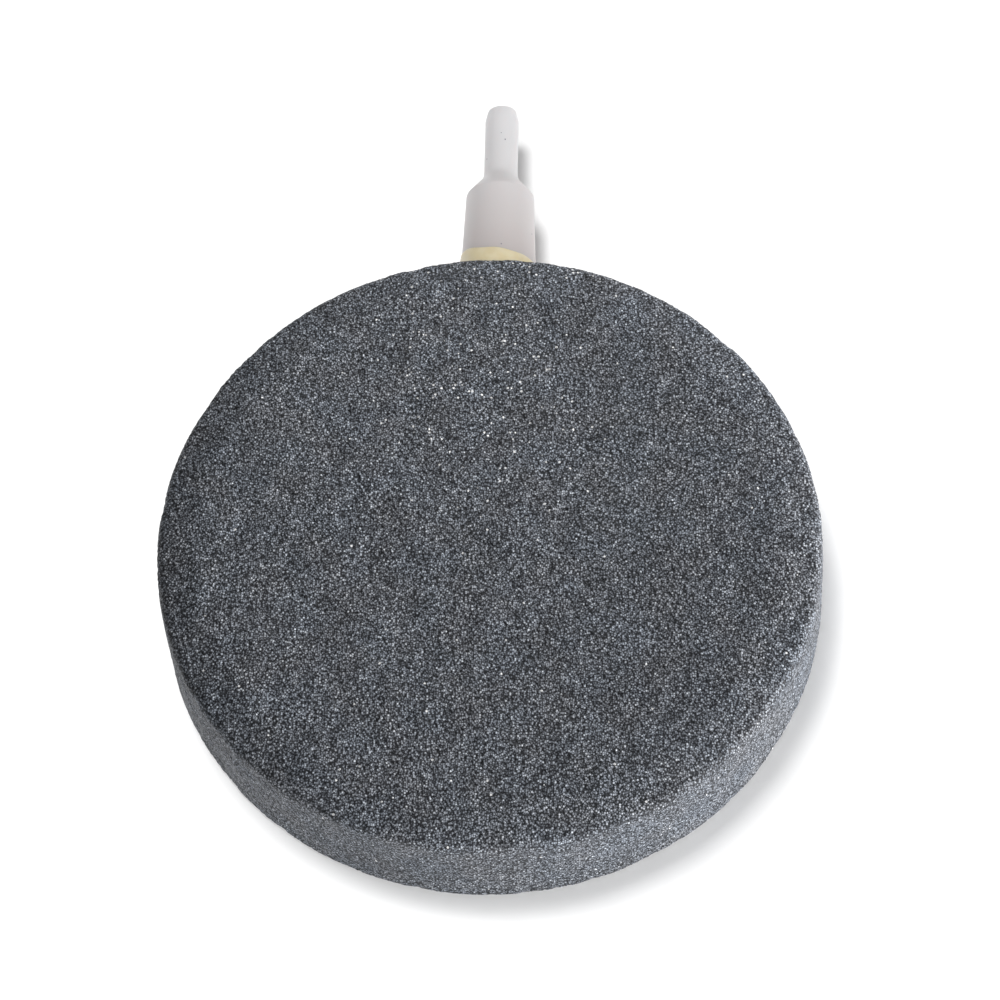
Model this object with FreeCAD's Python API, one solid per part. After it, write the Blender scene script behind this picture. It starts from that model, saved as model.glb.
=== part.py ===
import FreeCAD, Part

import math
import os

from FreeCAD import Vector

# Round air stone: a hollow disc of bonded mineral grit that breaks air into fine bubbles.
# Millimetres, +Z up. The origin is the centre of the underside and the hose connector points along +Y.

# Stone cup: the face, bevel and wall in one moulding, open below.
BASE_DIAMETER = 100.0
FACE_DIAMETER = 99.4
STONE_HEIGHT = 17.3
BEVEL_WIDTH = 5.8
BEVEL_DROP = 1.0
BEVEL_ROUND = 8.0
RIM_ROUND = 1.5
FOOT_ROUND = 0.8

# Air chamber inside the cup.
ROOF_THICKNESS = 5.0
CHAMBER_DIAMETER = 78.0
CHAMBER_ROUND = 2.0

# Plate that closes the chamber, bedded in glue on a ledge and flush with the foot of the wall.
PLATE_THICKNESS = 4.2
LEDGE_WIDTH = 2.5
BED_GLUE = 0.3
SEAM_GLUE = 0.4
SEAM_RECESS = 0.3

# Hose connector: spigot, body and nipple in one plastic moulding.
CONNECTOR_HEIGHT = 8.6
NIPPLE_DIAMETER = 5.35
NIPPLE_LENGTH = 12.7
NIPPLE_BORE = 2.8
LEAD_IN_LENGTH = 1.9
LEAD_IN_DEPTH = 0.4
TIP_ROUND = 0.3
BODY_LENGTH = 16.3
BODY_ROOT_DIAMETER = 12.0
BODY_END_DIAMETER = 10.75
SHOULDER_RISE = 3.5
SHOULDER_ROUND = 0.7
SHOULDER_ROOT_ROUND = 3.4
SPIGOT_DIAMETER = 7.0
SPIGOT_BORE = 4.6
SPIGOT_SETBACK = 0.6
BORE_STEP_DEPTH = 2.5

# Seat and socket that the connector is glued into.
SEAT_DEPTH = 1.2
GLUE_FILM = 0.2
COLLAR_LENGTH = 3.1
COLLAR_THICKNESS = 0.35
COLLAR_FLARE = 0.9
COLLAR_SLANT_DEG = 11.0

# Places that follow from the sizes above.
BASE_RADIUS = BASE_DIAMETER / 2
FACE_RADIUS = FACE_DIAMETER / 2
CHAMBER_RADIUS = CHAMBER_DIAMETER / 2
LEDGE_RADIUS = CHAMBER_RADIUS + LEDGE_WIDTH
LEDGE_HEIGHT = PLATE_THICKNESS + BED_GLUE
PLATE_RADIUS = LEDGE_RADIUS - SEAM_GLUE
RIM_HEIGHT = STONE_HEIGHT - BEVEL_DROP
ROOF_HEIGHT = STONE_HEIGHT - ROOF_THICKNESS

# Distances of the connector's stations from the disc's axis.
WALL_STATION = BASE_RADIUS - (BASE_RADIUS - FACE_RADIUS) * CONNECTOR_HEIGHT / RIM_HEIGHT
SEAT_STATION = WALL_STATION - SEAT_DEPTH
SPIGOT_STATION = CHAMBER_RADIUS + SPIGOT_SETBACK
BODY_STATION = SEAT_STATION + GLUE_FILM
SHOULDER_STATION = BODY_STATION + BODY_LENGTH
NIPPLE_STATION = SHOULDER_STATION + SHOULDER_RISE
TIP_STATION = NIPPLE_STATION + NIPPLE_LENGTH
BORE_STEP_STATION = SHOULDER_STATION - BORE_STEP_DEPTH
COLLAR_STATION = WALL_STATION + COLLAR_LENGTH

SOCKET_RADIUS = SPIGOT_DIAMETER / 2 + GLUE_FILM
SEAT_RADIUS = BODY_ROOT_DIAMETER / 2 + GLUE_FILM
COLLAR_RADIUS = BODY_ROOT_DIAMETER / 2 + COLLAR_THICKNESS
COLLAR_FOOT_RADIUS = COLLAR_RADIUS + COLLAR_FLARE

# Two places nearer than this are one point.
SAME_POINT = 1e-6


def rounded_wire(corners):
    """Closed wire in the XZ plane through (radius, height, corner rounding) points."""
    count = len(corners)
    places = [Vector(radius, 0, height) for radius, height, _ in corners]
    stretches = []
    for index, (_, _, rounding) in enumerate(corners):
        corner = places[index]
        back = (places[index - 1] - corner).normalize()
        ahead = (places[(index + 1) % count] - corner).normalize()
        if rounding == 0:
            stretches.append((corner, None, corner))
            continue
        half_angle = back.getAngle(ahead) / 2
        reach = rounding / math.tan(half_angle)
        to_centre = (back + ahead).normalize()
        middle = corner + to_centre * (rounding / math.sin(half_angle) - rounding)
        stretches.append((corner + back * reach, middle, corner + ahead * reach))
    edges = []
    for index, (start, middle, end) in enumerate(stretches):
        if middle is not None:
            edges.append(Part.Arc(start, middle, end).toShape())
        following = stretches[(index + 1) % count][0]
        if not end.isEqual(following, SAME_POINT):
            edges.append(Part.LineSegment(end, following).toShape())
    return Part.Wire(edges)


def turned(corners):
    """Solid of revolution about Z."""
    face = Part.Face(rounded_wire(corners))
    return face.revolve(Vector(0, 0, 0), Vector(0, 0, 1), 360)


def along_connector(shape):
    """Lay a shape turned about Z on the connector's axis, its heights becoming distances along +Y."""
    shape.rotate(Vector(0, 0, 0), Vector(1, 0, 0), -90)
    shape.translate(Vector(0, 0, CONNECTOR_HEIGHT))
    return shape


def connector_rod(radius, start, end):
    """Plain cylinder on the connector's axis between two stations."""
    return along_connector(Part.makeCylinder(radius, end - start, Vector(0, 0, start)))


def make_stone_body():
    cup = turned([
        (0, ROOF_HEIGHT, 0),
        (CHAMBER_RADIUS, ROOF_HEIGHT, CHAMBER_ROUND),
        (CHAMBER_RADIUS, LEDGE_HEIGHT, 0),
        (LEDGE_RADIUS, LEDGE_HEIGHT, 0),
        (LEDGE_RADIUS, 0, 0),
        (BASE_RADIUS, 0, FOOT_ROUND),
        (FACE_RADIUS, RIM_HEIGHT, RIM_ROUND),
        (FACE_RADIUS - BEVEL_WIDTH, STONE_HEIGHT, BEVEL_ROUND),
        (0, STONE_HEIGHT, 0),
    ])
    socket = connector_rod(SOCKET_RADIUS, CHAMBER_RADIUS / 2, WALL_STATION)
    seat = connector_rod(SEAT_RADIUS, SEAT_STATION, SHOULDER_STATION)
    return cup.cut(socket).cut(seat)


def make_base_plate():
    return Part.makeCylinder(PLATE_RADIUS, PLATE_THICKNESS)


def make_plate_glue():
    """Ring of glue under the ledge and round the plate's edge."""
    return turned([
        (CHAMBER_RADIUS, PLATE_THICKNESS, 0),
        (PLATE_RADIUS, PLATE_THICKNESS, 0),
        (PLATE_RADIUS, SEAM_RECESS, 0),
        (LEDGE_RADIUS, SEAM_RECESS, 0),
        (LEDGE_RADIUS, LEDGE_HEIGHT, 0),
        (CHAMBER_RADIUS, LEDGE_HEIGHT, 0),
    ])


def spigot_and_body():
    """Outline that the glue touches: the spigot, the step at the seat and the tapered body."""
    return [
        (SPIGOT_DIAMETER / 2, SPIGOT_STATION, 0),
        (SPIGOT_DIAMETER / 2, BODY_STATION, 0),
        (BODY_ROOT_DIAMETER / 2, BODY_STATION, 0),
        (BODY_END_DIAMETER / 2, SHOULDER_STATION, SHOULDER_ROUND),
    ]


def make_hose_connector():
    outside = spigot_and_body() + [
        (NIPPLE_DIAMETER / 2, NIPPLE_STATION, SHOULDER_ROOT_ROUND),
        (NIPPLE_DIAMETER / 2, TIP_STATION - LEAD_IN_LENGTH, 0),
        (NIPPLE_DIAMETER / 2 - LEAD_IN_DEPTH, TIP_STATION, TIP_ROUND),
    ]
    bore = [
        (NIPPLE_BORE / 2, TIP_STATION, TIP_ROUND),
        (NIPPLE_BORE / 2, BORE_STEP_STATION, 0),
        (SPIGOT_BORE / 2, BORE_STEP_STATION, 0),
        (SPIGOT_BORE / 2, SPIGOT_STATION, 0),
    ]
    return along_connector(turned(outside + bore))


def make_connector_glue(stone):
    """Glue in the socket and seat, with a collar that runs out along the body further on one side."""
    blank = along_connector(turned([
        (0, SPIGOT_STATION, 0),
        (SOCKET_RADIUS + GLUE_FILM, SPIGOT_STATION, 0),
        (SOCKET_RADIUS + GLUE_FILM, SEAT_STATION - GLUE_FILM, 0),
        (COLLAR_FOOT_RADIUS, SEAT_STATION - GLUE_FILM, 0),
        (COLLAR_FOOT_RADIUS, WALL_STATION, 0),
        (COLLAR_RADIUS, WALL_STATION, COLLAR_FLARE),
        (COLLAR_RADIUS, COLLAR_STATION + COLLAR_LENGTH, 0),
        (0, COLLAR_STATION + COLLAR_LENGTH, 0),
    ]))
    core = along_connector(turned(spigot_and_body() + [(0, SHOULDER_STATION, 0), (0, SPIGOT_STATION, 0)]))
    collar_end = Vector(0, COLLAR_STATION, CONNECTOR_HEIGHT)
    width = 4 * COLLAR_FOOT_RADIUS
    beyond = Part.makeBox(width, width, width, collar_end - Vector(width / 2, 0, width / 2))
    beyond.rotate(collar_end, Vector(0, 0, 1), -COLLAR_SLANT_DEG)
    return blank.cut(stone).cut(core).cut(beyond)


def save(node, shape):
    shape = shape.removeSplitter()
    print(node, "valid", shape.isValid(), "solids", len(shape.Solids), "cm3", round(shape.Volume / 1000, 3))
    shape.exportStep(os.path.join("parts", node + ".step"))


os.makedirs("parts", exist_ok=True)
stone_body = make_stone_body()
save("stone_body", stone_body)
save("base_plate", make_base_plate())
save("plate_glue", make_plate_glue())
save("hose_connector", make_hose_connector())
save("connector_glue", make_connector_glue(stone_body))
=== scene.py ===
"""Looks of a round air stone: rough bonded grit, a translucent hose connector and cream epoxy.

Everything is in metres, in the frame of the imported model: +Z up through the porous face and +Y along the
connector.
"""

import math

import bmesh
import bpy
import numpy as np
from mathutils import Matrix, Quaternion, Vector


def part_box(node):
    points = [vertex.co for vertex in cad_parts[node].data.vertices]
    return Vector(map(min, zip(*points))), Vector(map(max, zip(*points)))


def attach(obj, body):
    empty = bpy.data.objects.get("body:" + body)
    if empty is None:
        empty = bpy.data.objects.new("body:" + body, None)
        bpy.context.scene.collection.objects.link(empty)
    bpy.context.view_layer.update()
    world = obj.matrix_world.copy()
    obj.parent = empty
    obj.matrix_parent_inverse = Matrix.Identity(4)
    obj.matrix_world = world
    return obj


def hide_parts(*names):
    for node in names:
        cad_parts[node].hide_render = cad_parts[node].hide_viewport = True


MM = 0.001

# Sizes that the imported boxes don't give, as in the part's source.
BEVEL_WIDTH = 5.8 * MM
BEVEL_DROP = 1.0 * MM
BEVEL_ROUND = 8.0 * MM
RIM_ROUND = 1.5 * MM
FOOT_ROUND = 0.8 * MM
WALL_LEAN = 0.3 * MM
LEDGE_WIDTH = 2.5 * MM
BED_GLUE = 0.3 * MM
ROOF_THICKNESS = 5.0 * MM
CHAMBER_ROUND = 2.0 * MM
NIPPLE_RADIUS = 2.675 * MM
NIPPLE_LENGTH = 12.7 * MM
NIPPLE_BORE_RADIUS = 1.4 * MM
LEAD_IN_LENGTH = 1.9 * MM
LEAD_IN_DEPTH = 0.4 * MM
TIP_ROUND = 0.3 * MM
BODY_LENGTH = 16.3 * MM
BODY_TAPER = 0.625 * MM
SHOULDER_RISE = 3.5 * MM
SHOULDER_ROUND = 0.7 * MM
SHOULDER_ROOT_ROUND = 3.4 * MM
SPIGOT_RADIUS = 3.5 * MM
SPIGOT_BORE_RADIUS = 2.3 * MM
SPIGOT_SETBACK = 0.6 * MM
BORE_STEP_DEPTH = 2.5 * MM
SEAT_DEPTH = 1.2 * MM
GLUE_FILM = 0.2 * MM

# Collar of glue round the connector: it runs out furthest on the left, where the bead was pushed up.
COLLAR_LENGTH = 2.6 * MM
COLLAR_RUN_OUT = 2.0 * MM
COLLAR_RUN_OUT_AT = math.radians(165)
COLLAR_RUN_OUT_REACH = math.radians(45)
COLLAR_THICKNESS = 0.22 * MM
COLLAR_FLARE = 0.55 * MM
COLLAR_LIP = 0.01 * MM
COLLAR_SINK = 0.5 * MM
COLLAR_SWELL = 0.6 * COLLAR_THICKNESS
COLLAR_WAVE = 0.12 * MM
COLLAR_RIPPLE = 0.06 * MM

# Fineness of the smooth pieces: sides round each, and the longest step along its outline.
HOLE_SIDES = 96
SEAM_SIDES = 360
SEAM_STEP = 0.2 * MM
CONNECTOR_SIDES = 128
CONNECTOR_STEP = 0.8 * MM
COLLAR_SIDES = 160
COLLAR_STEP = 0.35 * MM
ARC_POINTS = 7
SHARP_ANGLE = math.radians(40)
SAME_POINT = 0.0001 * MM
ON_BODY = 0.02 * MM

# Unevenness of the glue between the plate and the ledge.
SEAM_WAVE = 0.02 * MM
SEAM_WAVES = 12

# Grain of the stone: spacing of the mesh points on each surface, and how far grains stand out or sit back.
FACE_SPACING = 0.373 * MM
WALL_SPACING = 0.42 * MM
FOOT_SPACING = 0.8 * MM
INSIDE_SPACING = 4.0 * MM
PLATE_SPACING = 0.7 * MM
GRAIN_RELIEF = 0.04 * MM
GRAIN_SINK = 0.08 * MM
GRAIN_LIMITS = (-2.2, 1.6)
GRAIN_JITTER = 0.33
PIT_SHARE = 0.03
PIT_DEPTH = 2
RING_MINIMUM = 24
SWAY = 0.02 * MM
SWAY_WAVES = 24
SWAY_SHORTEST = 2.5 * MM
SWAY_LONGEST = 16 * MM

# Pattern of the grit.
GRAIN_SIZE = 0.31 * MM
CHIP_SIZE = 0.15 * MM
TINT_SIZE = 6 * MM
BLOTCH_SIZE = 3.2 * MM
GRIT_SHADES = (
    (0.0, (0.100, 0.108, 0.123)), (0.5, (0.150, 0.161, 0.182)),
    (0.9, (0.240, 0.257, 0.288)), (1.0, (0.400, 0.422, 0.455)),
)
FACET_TILT = 0.25
GRAIN_BUMP = 0.2 * MM
CHIP_BUMP = 0.04 * MM
# Pale spots: a few quartz grains all over, and painted glints packed round a patch of the face and along the
# rim behind it.
QUARTZ_AND_GLINT_SIZE = 0.55 * MM
QUARTZ_AND_GLINT_COLOUR = (0.60, 0.60, 0.60)
QUARTZ_SHARE = 0.004
GLINT_SHARE_NEAR = 0.09
GLINT_PATCH_CENTRE = (-1 * MM, 24 * MM, 17.3 * MM)
GLINT_PATCH_REACH = 24 * MM

# Translucent plastic, its colour from the wall to the tip of the connector with painted shade, darker towards
# the wall, and cream epoxy.
MILKY_COLOUR_AND_PAINTED_SHADE = (
    (0.05, (0.60, 0.545, 0.535)), (0.25, (0.70, 0.66, 0.655)),
    (0.55, (0.80, 0.775, 0.78)), (1.0, (0.88, 0.86, 0.875)),
)
SPECK_SPACING = 2.6 * MM
SPECK_REACH = 0.045
SPECK_COLOUR = (0.30, 0.28, 0.32)
EPOXY_SHADES = ((0.3, (0.84, 0.70, 0.44)), (0.7, (0.90, 0.78, 0.54)))

# Floor and light.
FLOOR_REACH = 1.5
FLOOR_WHITE = 0.95
WORLD_STRENGTH = 0.2

# Camera: it looks down on the face with the connector at the far side.
CAMERA_AZIMUTH = math.radians(5.65)
CAMERA_ELEVATION = math.radians(63.07)
CAMERA_ROLL = math.radians(-4.48)
CAMERA_DISTANCE = 594 * MM
CAMERA_LENS = 141.73
TARGET_HEIGHT = 7.4 * MM
AIM_RIGHT = 1.40 * MM
AIM_UP = 10.49 * MM

rng = np.random.default_rng(358)


# ---------------------------------------------------------------- outlines

def unit(vector):
    return vector / np.linalg.norm(vector)


def left_of(direction):
    return np.stack([-direction[..., 1], direction[..., 0]], axis=-1)


def corner_arc(before, corner, after, rounding):
    """Start, end and centre of the arc that rounds a corner."""
    back = unit(before - corner)
    ahead = unit(after - corner)
    half_angle = math.acos(np.clip(back @ ahead, -1, 1)) / 2
    reach = rounding / math.tan(half_angle)
    centre = corner + unit(back + ahead) * rounding / math.sin(half_angle)
    return corner + back * reach, corner + ahead * reach, centre


def arc_spokes(start, end, centre, shares):
    """Spokes from the centre at shares of the turn from start to end, and the side that is outside."""
    first = start - centre
    last = end - centre
    turn = math.atan2(first[0] * last[1] - first[1] * last[0], first @ last)
    cos, sin = np.cos(shares * turn), np.sin(shares * turn)
    spokes = np.stack([first[0] * cos - first[1] * sin, first[0] * sin + first[1] * cos], axis=-1)
    return spokes, 1 if turn < 0 else -1


def rough_path(corners, spacing):
    """Evenly spaced points and outward normals along an open outline of (radius, height, rounding) corners.

    The outline runs with its outside on the left hand.
    """
    places = [np.array(corner[:2], dtype=float) for corner in corners]
    points = []
    normals = []

    def add_straight(start, end):
        count = max(1, round(np.linalg.norm(end - start) / spacing))
        share = (np.arange(count) + 0.5) / count
        points.append(start + share[:, None] * (end - start))
        normals.append(np.repeat(left_of(unit(end - start))[None], count, axis=0))

    start = places[0]
    for index in range(1, len(corners) - 1):
        rounding = corners[index][2]
        if rounding == 0:
            add_straight(start, places[index])
            start = places[index]
            continue
        arc_start, arc_end, centre = corner_arc(*places[index - 1:index + 2], rounding)
        add_straight(start, arc_start)
        count = max(2, round(np.linalg.norm(arc_end - arc_start) / spacing))
        spokes, side = arc_spokes(arc_start, arc_end, centre, (np.arange(count) + 0.5) / count)
        points.append(centre + spokes)
        normals.append(spokes / rounding * side)
        start = arc_end
    add_straight(start, places[-1])
    return np.concatenate(points), np.concatenate(normals)


def smooth_outline(corners, step):
    """Points of a closed outline of (radius, height, rounding) corners, its corners kept."""
    places = [np.array(corner[:2], dtype=float) for corner in corners]
    stops = []
    for index, corner in enumerate(places):
        rounding = corners[index][2]
        if rounding == 0:
            stops.append(corner[None])
            continue
        following = places[(index + 1) % len(places)]
        start, end, centre = corner_arc(places[index - 1], corner, following, rounding)
        spokes, _ = arc_spokes(start, end, centre, np.linspace(0, 1, ARC_POINTS))
        stops.append(centre + spokes)
    stops = np.concatenate(stops)
    points = []
    for start, end in zip(stops, np.roll(stops, -1, axis=0)):
        count = max(1, math.ceil(np.linalg.norm(end - start) / step))
        points.append(start + (np.arange(count) / count)[:, None] * (end - start))
    return np.concatenate(points)


# ---------------------------------------------------------------- meshes

def make_mesh(name, points, faces):
    made = bpy.data.meshes.new(name)
    made.from_pydata([tuple(map(float, point)) for point in points], [], faces)
    made.update()
    return made


class Sway:
    """Slow unevenness of a moulded surface, as a sum of random waves."""

    def __init__(self):
        directions = rng.normal(size=(SWAY_WAVES, 3))
        directions /= np.linalg.norm(directions, axis=1)[:, None]
        lengths = rng.uniform(SWAY_SHORTEST, SWAY_LONGEST, SWAY_WAVES)
        self.waves = directions * (2 * math.pi / lengths)[:, None]
        self.phases = rng.uniform(0, 2 * math.pi, SWAY_WAVES)

    def at(self, points):
        return SWAY * np.cos(points @ self.waves.T + self.phases).sum(axis=1)


class Lattice:
    """Rings of points round Z from one pole to the other, joined by triangles that face outwards."""

    def __init__(self):
        self.points = []
        self.faces = []
        self.rings = []
        self.sway = Sway()

    def pole(self, height):
        self.rings.append((len(self.points), 1))
        self.points.append((0.0, 0.0, height))

    def ring(self, place, normal, spacing, relief, sink):
        """One ring of grains, each moved a little along the surface and in or out of it."""
        count = max(RING_MINIMUM, round(2 * math.pi * place[0] / spacing))
        self.rings.append((len(self.points), count))
        jitter = GRAIN_JITTER if relief else 0
        angles = (np.arange(count) + rng.uniform(-jitter, jitter, count)) * 2 * math.pi / count
        slide = rng.uniform(-jitter, jitter, count) * spacing
        out = relief * np.clip(rng.normal(0, 1, count), *GRAIN_LIMITS)
        out -= relief * PIT_DEPTH * (rng.random(count) < PIT_SHARE)
        if relief:
            across, ahead = place[0] * np.cos(angles), place[0] * np.sin(angles)
            out += self.sway.at(np.stack([across, ahead, np.full(count, place[1])], axis=-1))
        if sink:
            out = np.minimum(out - sink, 0)
        radii = place[0] + slide * normal[1] + out * normal[0]
        heights = place[1] - slide * normal[0] + out * normal[1]
        self.points.extend(zip(radii * np.cos(angles), radii * np.sin(angles), heights))

    def band(self, corners, spacing, relief=0.0, sink=0.0):
        for place, normal in zip(*rough_path(corners, spacing)):
            self.ring(place, normal, spacing, relief, sink)

    def join(self, ring_a, ring_b):
        """Triangles between two rings, or between a ring and a pole, taken in turn from whichever lags."""
        first_a, count_a = ring_a
        first_b, count_b = ring_b
        if count_a == 1:
            for j in range(count_b):
                self.faces.append((first_a, first_b + j, first_b + (j + 1) % count_b))
            return
        if count_b == 1:
            for i in range(count_a):
                self.faces.append((first_a + i, first_b, first_a + (i + 1) % count_a))
            return
        i = j = 0
        while i < count_a or j < count_b:
            a = first_a + i % count_a
            b = first_b + j % count_b
            if (j + 1) * count_a <= (i + 1) * count_b:
                self.faces.append((a, b, first_b + (j + 1) % count_b))
                j += 1
            else:
                self.faces.append((a, b, first_a + (i + 1) % count_a))
                i += 1

    def mesh(self, name):
        for ring_a, ring_b in zip(self.rings[:-1], self.rings[1:]):
            self.join(ring_a, ring_b)
        return make_mesh(name, self.points, self.faces)


def turned_mesh(name, outline, sides, shape=None):
    """Closed ring of quads about Z through a closed outline of (radius, height) points.

    The outline runs with its outside on the left hand. shape may move the points: it is given their radii,
    heights and angles, and returns new radii and heights.
    """
    angles = np.arange(sides) * 2 * math.pi / sides
    radii, heights, turns = np.broadcast_arrays(outline[:, :1], outline[:, 1:], angles[None])
    if shape:
        radii, heights = shape(radii, heights, turns)
    points = np.stack([radii * np.cos(turns), radii * np.sin(turns), heights], axis=-1).reshape(-1, 3)
    faces = []
    for i in range(len(outline)):
        row = i * sides
        following = (i + 1) % len(outline) * sides
        for j in range(sides):
            k = (j + 1) % sides
            faces.append((row + j, following + j, following + k, row + k))
    mesh = make_mesh(name, points, faces)
    mesh.shade_smooth()
    mesh.set_sharp_from_angle(angle=SHARP_ANGLE)
    return mesh


def rod_mesh(name, outline, sides):
    """Closed rod about Z whose outline starts and ends on the axis, where its points are drawn together."""
    mesh = turned_mesh(name, outline, sides)
    work = bmesh.new()
    work.from_mesh(mesh)
    bmesh.ops.remove_doubles(work, verts=work.verts, dist=SAME_POINT)
    work.to_mesh(mesh)
    work.free()
    mesh.update()
    return mesh


def along_connector(mesh):
    """Lay a mesh turned about Z on the connector's axis, its heights becoming places along +Y."""
    points = np.empty(len(mesh.vertices) * 3)
    mesh.vertices.foreach_get("co", points)
    points = points.reshape(-1, 3)
    laid = np.stack([points[:, 0], points[:, 2], CONNECTOR_HEIGHT - points[:, 1]], axis=-1)
    mesh.vertices.foreach_set("co", laid.ravel())
    mesh.update()
    return mesh


def add_piece(name, mesh, material, slot, *replaced):
    piece = bpy.data.objects.new(name, mesh)
    bpy.context.scene.collection.objects.link(piece)
    mesh.materials.clear()
    mesh.materials.append(material)
    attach(piece, "root")
    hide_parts(*replaced)
    return piece


def cut_away(piece, cutter_mesh):
    """Take a closed shape out of a closed piece, and keep only the result."""
    cutter = bpy.data.objects.new("cutter", cutter_mesh)
    bpy.context.scene.collection.objects.link(cutter)
    modifier = piece.modifiers.new("cut", "BOOLEAN")
    modifier.operation = "DIFFERENCE"
    modifier.solver = "MANIFOLD"
    modifier.object = cutter
    depsgraph = bpy.context.evaluated_depsgraph_get()
    result = bpy.data.meshes.new_from_object(piece.evaluated_get(depsgraph))
    piece.modifiers.clear()
    piece.data = result
    bpy.data.objects.remove(cutter)


# ---------------------------------------------------------------- materials

class Nodes:
    """Short way to add and join shader nodes."""

    def __init__(self, name):
        self.material = bpy.data.materials.new(name)
        self.material.use_nodes = True
        self.tree = self.material.node_tree
        self.tree.nodes.clear()
        self.place = self.add("NewGeometry").outputs["Position"]

    def add(self, kind, inputs=None, **settings):
        node = self.tree.nodes.new("ShaderNode" + kind)
        for key, value in settings.items():
            setattr(node, key, value)
        for key, value in (inputs or {}).items():
            self.set(node, key, value)
        return node

    def set(self, node, key, value):
        if isinstance(value, bpy.types.NodeSocket):
            self.tree.links.new(value, node.inputs[key])
        else:
            node.inputs[key].default_value = value

    def math(self, operation, *values):
        node = self.add("Math", operation=operation)
        for index, value in enumerate(values):
            self.set(node, index, value)
        return node.outputs[0]

    def vector(self, operation, *values):
        node = self.add("VectorMath", operation=operation)
        for index, value in enumerate(values):
            self.set(node, "Scale" if operation == "SCALE" and index == 1 else index, value)
        return node.outputs["Value" if operation == "DISTANCE" else "Vector"]

    def cells(self, size):
        return self.add("TexVoronoi", {"Vector": self.place, "Scale": 1 / size}, voronoi_dimensions="3D")

    def part_of_place(self, index):
        return self.add("SeparateXYZ", {"Vector": self.place}).outputs[index]

    def noise(self, size, detail=2.0):
        node = self.add("TexNoise", {"Vector": self.place, "Scale": 1 / size, "Detail": detail})
        return node.outputs["Fac"]

    def part(self, colour, index):
        return self.add("SeparateColor", {"Color": colour}).outputs[index]

    def ramp(self, factor, *stops):
        node = self.add("ValToRGB", {"Fac": factor})
        elements = node.color_ramp.elements
        while len(elements) < len(stops):
            elements.new(0.5)
        for element, (position, colour) in zip(elements, stops):
            element.position = position
            element.color = (*colour, 1)
        return node.outputs["Color"]

    def mix(self, factor, first, second, blend="MIX"):
        node = self.add("Mix", data_type="RGBA", blend_type=blend)
        # A Mix node keeps its colours after the sockets for plain numbers and vectors.
        self.set(node, 0, factor)
        self.set(node, 6, first)
        self.set(node, 7, second)
        return node.outputs[2]

    def bump(self, height, distance, strength, normal=None):
        node = self.add("Bump", {"Height": height, "Distance": distance, "Strength": strength})
        if normal:
            self.set(node, "Normal", normal)
        return node.outputs["Normal"]

    def finish(self, shader):
        output = self.add("OutputMaterial")
        self.tree.links.new(shader.outputs[0], output.inputs["Surface"])
        return self.material


def grey(value):
    return (value, value, value)


def stone_material():
    n = Nodes("bonded_grit")
    grains = n.cells(GRAIN_SIZE)
    chips = n.cells(CHIP_SIZE)
    shade = n.ramp(n.part(grains.outputs["Color"], 0), *GRIT_SHADES)
    # Painted shade: the gaps between grains are darkened, down to 0.13, for the shade in the pores.
    painted_pore_shade = n.ramp(grains.outputs["Distance"], (0.28, grey(1.0)), (0.62, grey(0.13)))
    colour = n.mix(1.0, shade, painted_pore_shade, "MULTIPLY")
    tint = n.ramp(n.noise(TINT_SIZE), (0.35, (1.02, 1.0, 0.985)), (0.65, (0.975, 1.0, 1.025)))
    colour = n.mix(1.0, colour, tint, "MULTIPLY")
    blotch = n.ramp(n.noise(BLOTCH_SIZE, 3.0), (0.3, grey(0.93)), (0.7, grey(1.07)))
    colour = n.mix(1.0, colour, blotch, "MULTIPLY")
    # Pale quartz grains are sparse all over. The many more pale spots in a patch of the face towards the
    # connector and on the rim behind it are painted glints, a painted highlight of a lamp behind.
    near_glint_patch = n.math("DIVIDE", n.vector("DISTANCE", n.place, GLINT_PATCH_CENTRE), GLINT_PATCH_REACH)
    glint_patch = n.ramp(near_glint_patch, (0.15, grey(1.0)), (1.0, grey(0.0)))
    towards_connector = n.math("DIVIDE", n.part_of_place(1), BASE_RADIUS)
    # Painted glints along the rim on the connector's side.
    rim = n.ramp(towards_connector, (0.80, grey(0.0)), (0.93, grey(0.8)))
    glint_share = n.math("MULTIPLY", n.math("MAXIMUM", glint_patch, rim), GLINT_SHARE_NEAR)
    share = n.math("ADD", glint_share, QUARTZ_SHARE)
    quartz_and_glint_cells = n.cells(QUARTZ_AND_GLINT_SIZE)
    chosen = n.math("LESS_THAN", n.part(quartz_and_glint_cells.outputs["Color"], 1), share)
    heart = n.ramp(quartz_and_glint_cells.outputs["Distance"], (0.26, grey(1.0)), (0.40, grey(0.0)))
    quartz_and_glint = n.math("MULTIPLY", chosen, heart)
    colour = n.mix(quartz_and_glint, colour, (*QUARTZ_AND_GLINT_COLOUR, 1))
    facet = n.vector("SUBTRACT", grains.outputs["Color"], grey(0.5))
    facet = n.vector("SCALE", facet, FACET_TILT)
    normal = n.vector("ADD", n.add("NewGeometry").outputs["Normal"], facet)
    normal = n.vector("NORMALIZE", normal)
    normal = n.bump(n.math("SUBTRACT", 1.0, grains.outputs["Distance"]), GRAIN_BUMP, 0.5, normal)
    normal = n.bump(n.math("SUBTRACT", 1.0, chips.outputs["Distance"]), CHIP_BUMP, 0.3, normal)
    shader = n.add("BsdfPrincipled", {
        "Base Color": colour,
        "Normal": normal,
        "Roughness": 0.5,
        "Specular IOR Level": 0.12,
    })
    return n.finish(shader)


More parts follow.
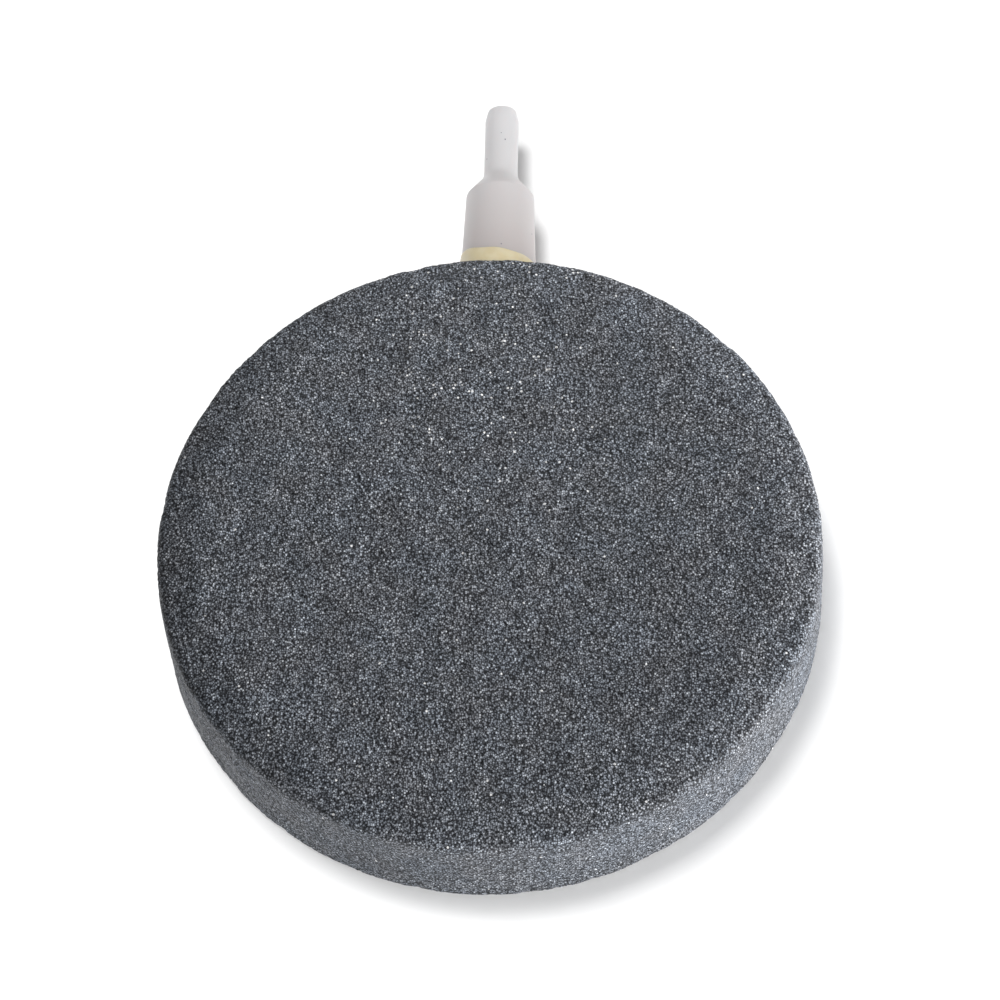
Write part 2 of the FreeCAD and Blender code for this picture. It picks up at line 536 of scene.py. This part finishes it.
def plastic_material():
    n = Nodes("natural_plastic")
    # Painted shade: the plastic is made darker towards the wall, where the stone shades it.
    along = n.math("DIVIDE", n.math("SUBTRACT", n.part_of_place(1), WALL), TIP - WALL)
    milky_and_painted_shade = n.ramp(along, *MILKY_COLOUR_AND_PAINTED_SHADE)
    speck = n.math("LESS_THAN", n.cells(SPECK_SPACING).outputs["Distance"], SPECK_REACH)
    colour = n.mix(speck, milky_and_painted_shade, (*SPECK_COLOUR, 1))
    shader = n.add("BsdfPrincipled", {
        "Base Color": colour,
        "Normal": n.bump(n.noise(1.4 * MM), 0.05 * MM, 0.12),
        "Roughness": 0.36,
        "Specular IOR Level": 0.4,
        "Subsurface Weight": 0.6,
        "Subsurface Radius": (1.0, 0.85, 0.83),
        "Subsurface Scale": 2.5 * MM,
    })
    return n.finish(shader)


def epoxy_material():
    n = Nodes("cream_epoxy")
    cloud = n.ramp(n.noise(1.8 * MM), *EPOXY_SHADES)
    shader = n.add("BsdfPrincipled", {
        "Base Color": cloud,
        "Normal": n.bump(n.noise(0.9 * MM), 0.06 * MM, 0.25),
        "Roughness": 0.3,
        "Subsurface Weight": 0.25,
        "Subsurface Radius": (1.0, 0.8, 0.4),
        "Subsurface Scale": 0.8 * MM,
    })
    return n.finish(shader)


# ---------------------------------------------------------------- pieces

def make_stone(material):
    """Cup of grit: face, bevel, wall, foot, ledge and chamber, then the seat and socket of the connector."""
    lattice = Lattice()
    lattice.pole(HEIGHT)
    rim = BASE_RADIUS - WALL_LEAN
    wall_middle = (BASE_RADIUS - WALL_LEAN / 2, HEIGHT / 2, 0)
    foot_end = (BASE_RADIUS - 3 * FOOT_ROUND, 0, 0)
    ledge_edge = (LEDGE_RADIUS, LEDGE_HEIGHT, 0)
    roof = HEIGHT - ROOF_THICKNESS
    lattice.band([
        (0, HEIGHT, 0), (rim - BEVEL_WIDTH, HEIGHT, BEVEL_ROUND), (rim, HEIGHT - BEVEL_DROP, RIM_ROUND),
        wall_middle,
    ], FACE_SPACING, GRAIN_RELIEF, GRAIN_SINK)
    lattice.band([
        wall_middle, (BASE_RADIUS, 0, FOOT_ROUND), foot_end,
    ], WALL_SPACING, GRAIN_RELIEF, GRAIN_SINK)
    lattice.band([foot_end, (LEDGE_RADIUS, 0, 0), ledge_edge], FOOT_SPACING, GRAIN_RELIEF, GRAIN_SINK)
    lattice.band([
        ledge_edge, (CHAMBER_RADIUS, LEDGE_HEIGHT, 0), (CHAMBER_RADIUS, roof, CHAMBER_ROUND), (0, roof, 0),
    ], INSIDE_SPACING)
    lattice.pole(roof)
    stone = add_piece("stone", lattice.mesh("stone"), material, "stone", "stone_body")
    inner_end = CHAMBER_RADIUS / 2
    hole = np.array([
        (0, inner_end), (0, SHOULDER), (SEAT_RADIUS, SHOULDER),
        (SEAT_RADIUS, SEAT), (SOCKET_RADIUS, SEAT), (SOCKET_RADIUS, inner_end),
    ])
    cut_away(stone, along_connector(rod_mesh("hole", hole, HOLE_SIDES)))


def make_base_plate(material):
    lattice = Lattice()
    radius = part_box("base_plate")[1][0]
    lattice.pole(PLATE_HEIGHT)
    lattice.band([(0, PLATE_HEIGHT, 0), (radius, PLATE_HEIGHT, 0)], INSIDE_SPACING)
    lattice.band([
        (radius, PLATE_HEIGHT, 0), (radius, 0, 0), (0, 0, 0),
    ], PLATE_SPACING, GRAIN_RELIEF, GRAIN_SINK)
    lattice.pole(0)
    add_piece("plate", lattice.mesh("plate"), material, "stone", "base_plate")


def make_plate_glue(material):
    """Ring of glue under the ledge and round the plate's edge, its underside a little uneven."""
    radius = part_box("base_plate")[1][0]
    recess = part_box("plate_glue")[0][2]
    outline = smooth_outline([
        (CHAMBER_RADIUS, PLATE_HEIGHT, 0), (CHAMBER_RADIUS, LEDGE_HEIGHT, 0),
        (LEDGE_RADIUS, LEDGE_HEIGHT, 0), (LEDGE_RADIUS, recess, 0),
        (radius, recess, 0), (radius, PLATE_HEIGHT, 0),
    ], SEAM_STEP)
    phases = rng.uniform(0, 2 * math.pi, SEAM_WAVES)

    def sag(radii, heights, turns):
        wave = sum(np.cos((k + 3) * 3 * turns + phase) for k, phase in enumerate(phases)) * SEAM_WAVE
        return radii, heights + wave * (heights < recess * 2)

    mesh = turned_mesh("plate_seam", outline, SEAM_SIDES, sag)
    add_piece("plate_seam", mesh, material, "epoxy", "plate_glue")


def make_hose_connector(material):
    outline = smooth_outline([
        (SPIGOT_BORE_RADIUS, SPIGOT, 0), (SPIGOT_BORE_RADIUS, BORE_STEP, 0),
        (NIPPLE_BORE_RADIUS, BORE_STEP, 0), (NIPPLE_BORE_RADIUS, TIP, TIP_ROUND),
        (NIPPLE_RADIUS - LEAD_IN_DEPTH, TIP, TIP_ROUND), (NIPPLE_RADIUS, TIP - LEAD_IN_LENGTH, 0),
        (NIPPLE_RADIUS, NIPPLE, SHOULDER_ROOT_ROUND), (BODY_RADIUS - BODY_TAPER, SHOULDER, SHOULDER_ROUND),
        (BODY_RADIUS, BODY, 0), (SPIGOT_RADIUS, BODY, 0), (SPIGOT_RADIUS, SPIGOT, 0),
    ], CONNECTOR_STEP)
    mesh = along_connector(turned_mesh("connector", outline, CONNECTOR_SIDES))
    add_piece("connector", mesh, material, "connector_plastic", "hose_connector")


def body_radius(station):
    return BODY_RADIUS - BODY_TAPER * (station - BODY) / BODY_LENGTH


def make_connector_glue(material):
    """Film in the socket and seat, and the uneven collar outside, which follows the round of the wall."""
    end = WALL + COLLAR_LENGTH
    outer = BODY_RADIUS + COLLAR_THICKNESS
    foot = outer + COLLAR_FLARE
    outline = smooth_outline([
        (SPIGOT_RADIUS, SPIGOT, 0), (SPIGOT_RADIUS, BODY, 0),
        (BODY_RADIUS, BODY, 0), (body_radius(end), end, 0),
        (body_radius(end) + COLLAR_THICKNESS * 0.9, end, COLLAR_THICKNESS * 0.6),
        (outer, WALL, COLLAR_FLARE * 0.8), (foot, WALL, 0), (foot, WALL - COLLAR_LIP, 0),
        (SEAT_RADIUS, WALL - COLLAR_LIP, 0), (SEAT_RADIUS, SEAT, 0),
        (SOCKET_RADIUS, SEAT, 0), (SOCKET_RADIUS, SPIGOT, 0),
    ], COLLAR_STEP)

    def flow(radii, heights, turns):
        # Once laid on the connector's axis, the turn runs from +X downwards, so the top is at -90 degrees.
        across = radii * np.cos(turns)
        rise = -radii * np.sin(turns)
        wall_radius = BASE_RADIUS - WALL_LEAN * (CONNECTOR_HEIGHT + rise) / (HEIGHT - BEVEL_DROP)
        wall = np.sqrt(wall_radius ** 2 - across ** 2)
        around = np.arctan2(rise, across)
        from_left = np.abs(np.angle(np.exp(1j * (around - COLLAR_RUN_OUT_AT))))
        length = COLLAR_LENGTH + COLLAR_RUN_OUT * np.exp(-(from_left / COLLAR_RUN_OUT_REACH) ** 2)
        length = length + COLLAR_WAVE * np.cos(3 * around + 1) + COLLAR_RIPPLE * np.cos(8 * around)
        share = np.clip((heights - WALL) / COLLAR_LENGTH, 0, 1)
        outside = heights > WALL - SEAT_DEPTH / 2
        placed = wall - COLLAR_SINK * (1 - share) ** 6 + share * length
        off_body = radii - body_radius(heights)
        outward = np.clip(off_body / COLLAR_THICKNESS, 0, 1)
        swell = COLLAR_SWELL * outward * share * (1 - share)
        new_radii = body_radius(placed) + np.where(off_body < ON_BODY, 0, off_body + swell)
        return np.where(outside, new_radii, radii), np.where(outside, placed, heights)

    mesh = along_connector(turned_mesh("glue_collar", outline, COLLAR_SIDES, flow))
    add_piece("glue_collar", mesh, material, "epoxy", "connector_glue")


# ---------------------------------------------------------------- floor, light and camera

def studio():
    corners = [(x * FLOOR_REACH, y * FLOOR_REACH, 0) for x, y in ((-1, -1), (1, -1), (1, 1), (-1, 1))]
    floor_mesh = make_mesh("floor", corners, [(0, 1, 2, 3)])
    floor = bpy.data.objects.new("floor", floor_mesh)
    bpy.context.scene.collection.objects.link(floor)
    n = Nodes("white_table")
    floor_mesh.materials.append(n.finish(n.add("BsdfPrincipled", {
        "Base Color": (*grey(FLOOR_WHITE), 1),
        "Roughness": 0.9,
        "Specular IOR Level": 0.1,
    })))
    world = bpy.data.worlds.new("studio")
    bpy.context.scene.world = world
    world.use_nodes = True
    background = world.node_tree.nodes["Background"]
    background.inputs["Color"].default_value = (1, 1, 1, 1)
    background.inputs["Strength"].default_value = WORLD_STRENGTH
    bpy.context.scene.view_settings.view_transform = "Standard"


def group(name, pieces):
    collection = bpy.data.collections.new(name)
    for piece in pieces:
        collection.objects.link(bpy.data.objects[piece])
    return collection


def lamp(name, azimuth, elevation, distance, size, power, lights=(), shaded_by=()):
    """Square soft light aimed at the middle of the stone. Azimuth 0 is +X and 90 is +Y.

    It lights only the objects in lights, and only those in shaded_by cast its shadow, as flags on a set would
    have it.
    """
    data = bpy.data.lights.new(name, "AREA")
    data.size = size
    data.energy = power
    light = bpy.data.objects.new(name, data)
    bpy.context.scene.collection.objects.link(light)
    a, e = math.radians(azimuth), math.radians(elevation)
    towards = Vector((math.cos(a) * math.cos(e), math.sin(a) * math.cos(e), math.sin(e)))
    light.location = towards * distance
    light.rotation_mode = "QUATERNION"
    light.rotation_quaternion = towards.to_track_quat("Z", "Y")
    light.visible_camera = False
    if lights:
        light.light_linking.receiver_collection = group("lit_by_" + name, lights)
    if shaded_by:
        light.light_linking.blocker_collection = group("shades_" + name, shaded_by)


def add_camera():
    data = bpy.data.cameras.new("camera")
    data.lens = CAMERA_LENS
    camera = bpy.data.objects.new("camera", data)
    bpy.context.scene.collection.objects.link(camera)
    sight = Vector((
        math.sin(CAMERA_AZIMUTH) * math.cos(CAMERA_ELEVATION),
        -math.cos(CAMERA_AZIMUTH) * math.cos(CAMERA_ELEVATION),
        math.sin(CAMERA_ELEVATION),
    ))
    target = Vector((0, 0, TARGET_HEIGHT))
    camera.location = target + sight * CAMERA_DISTANCE
    level = sight.to_track_quat("Z", "Y") @ Quaternion((0, 0, 1), CAMERA_ROLL)
    aim = target + level @ Vector((AIM_RIGHT, AIM_UP, 0))
    look = (camera.location - aim).to_track_quat("Z", "Y") @ Quaternion((0, 0, 1), CAMERA_ROLL)
    camera.rotation_mode = "QUATERNION"
    camera.rotation_quaternion = look
    bpy.context.scene.camera = camera


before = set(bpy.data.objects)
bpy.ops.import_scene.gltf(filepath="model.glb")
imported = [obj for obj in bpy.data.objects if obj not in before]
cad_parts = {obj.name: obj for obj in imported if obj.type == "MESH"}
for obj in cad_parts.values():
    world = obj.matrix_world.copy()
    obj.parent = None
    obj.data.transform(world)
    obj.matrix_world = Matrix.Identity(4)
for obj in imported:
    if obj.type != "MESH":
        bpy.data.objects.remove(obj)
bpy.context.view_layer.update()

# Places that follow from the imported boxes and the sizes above.
BASE_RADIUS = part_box("stone_body")[1][0]
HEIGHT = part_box("stone_body")[1][2]
PLATE_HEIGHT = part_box("base_plate")[1][2]
SPIGOT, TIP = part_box("hose_connector")[0][1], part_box("hose_connector")[1][1]
BODY_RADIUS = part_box("hose_connector")[1][0]
CONNECTOR_HEIGHT = (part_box("hose_connector")[0][2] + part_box("hose_connector")[1][2]) / 2
CHAMBER_RADIUS = SPIGOT - SPIGOT_SETBACK
LEDGE_RADIUS = CHAMBER_RADIUS + LEDGE_WIDTH
LEDGE_HEIGHT = PLATE_HEIGHT + BED_GLUE
NIPPLE = TIP - NIPPLE_LENGTH
SHOULDER = NIPPLE - SHOULDER_RISE
BODY = SHOULDER - BODY_LENGTH
SEAT = BODY - GLUE_FILM
WALL = SEAT + SEAT_DEPTH
BORE_STEP = SHOULDER - BORE_STEP_DEPTH
SEAT_RADIUS = BODY_RADIUS + GLUE_FILM
SOCKET_RADIUS = SPIGOT_RADIUS + GLUE_FILM

grit = stone_material()
plastic = plastic_material()
epoxy = epoxy_material()
make_stone(grit)
make_base_plate(grit)
make_plate_glue(epoxy)
make_hose_connector(plastic)
make_connector_glue(epoxy)
studio()
grit_pieces = ["stone", "plate"]
white_pieces = ["connector", "glue_collar"]
lamp("key", -8, 15, 1.6, 1.0, 92, grit_pieces)
lamp("front", -98, 6, 0.15, 0.06, 0.12, grit_pieces)
lamp("back", 97, 32, 0.24, 0.08, 0.25, grit_pieces)
lamp("wash", -50, 68, 1.0, 1.2, 10.5, white_pieces)
lamp("drop", 131, 76, 1.0, 0.3, 7.0, ["floor"], grit_pieces + white_pieces)
lamp("drop_behind", -103, 64, 1.0, 0.6, 5.0, ["floor"], white_pieces)
add_camera()
